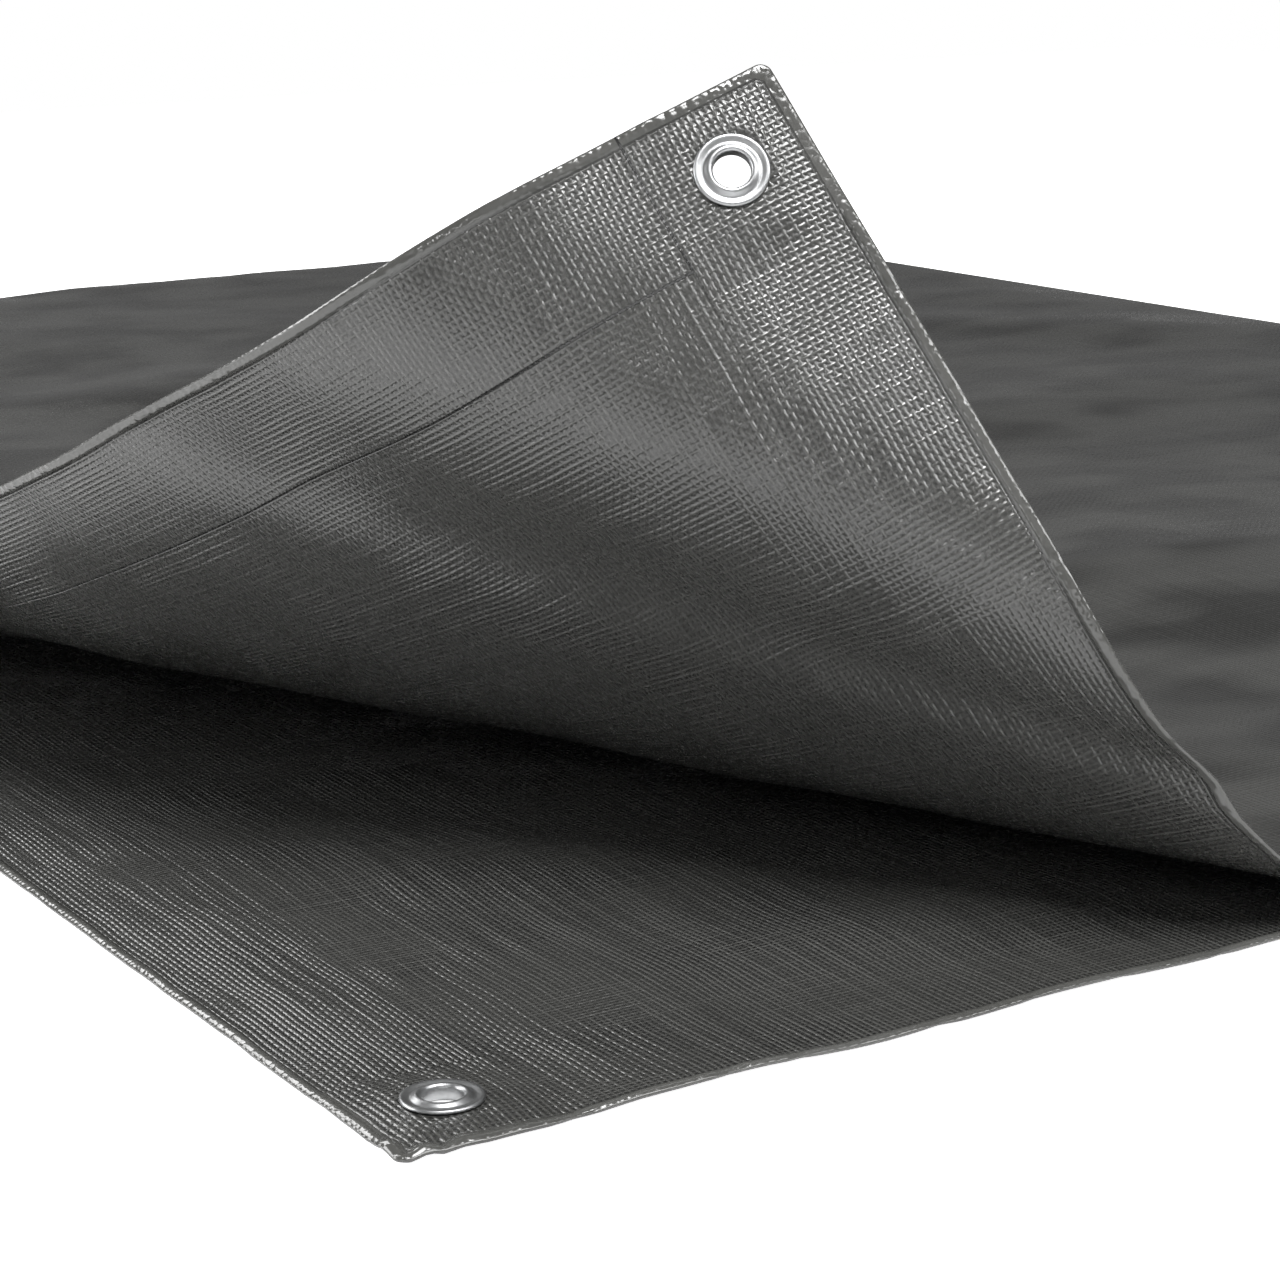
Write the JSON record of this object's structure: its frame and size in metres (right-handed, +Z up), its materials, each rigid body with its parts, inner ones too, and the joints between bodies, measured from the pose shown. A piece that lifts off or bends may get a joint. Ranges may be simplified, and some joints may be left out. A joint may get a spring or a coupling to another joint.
{
  "type": "folded pool cover",
  "caption": "Woven coated pool cover folded once and lying flat, with hemmed edges, metal corner eyelets and one upper corner lifted and curled back.",
  "frame": {"origin": "middle of the bounding box, on the floor under the lower layer", "axes": "+X across the cover from the open edges to the fold, +Y along the fold, +Z up; the lifted corner is at low X and low Y"},
  "size_m": [1.1969, 1.7002, 0.2717],
  "materials": {
    "coated_cloth": "dark grey woven polyethylene tape with a glossy coating",
    "eyelet_metal": "bright rolled aluminium"
  },
  "bodies": {
    "root": {"cover": "coated_cloth", "corner_strip_near_lower": "coated_cloth", "corner_strip_near_upper": "coated_cloth", "corner_strip_far_lower": "coated_cloth", "corner_strip_far_upper": "coated_cloth", "eyelet_near_lower": "eyelet_metal", "eyelet_near_upper": "eyelet_metal", "eyelet_far_lower": "eyelet_metal", "eyelet_far_upper": "eyelet_metal"}
  },
  "joints": []
}
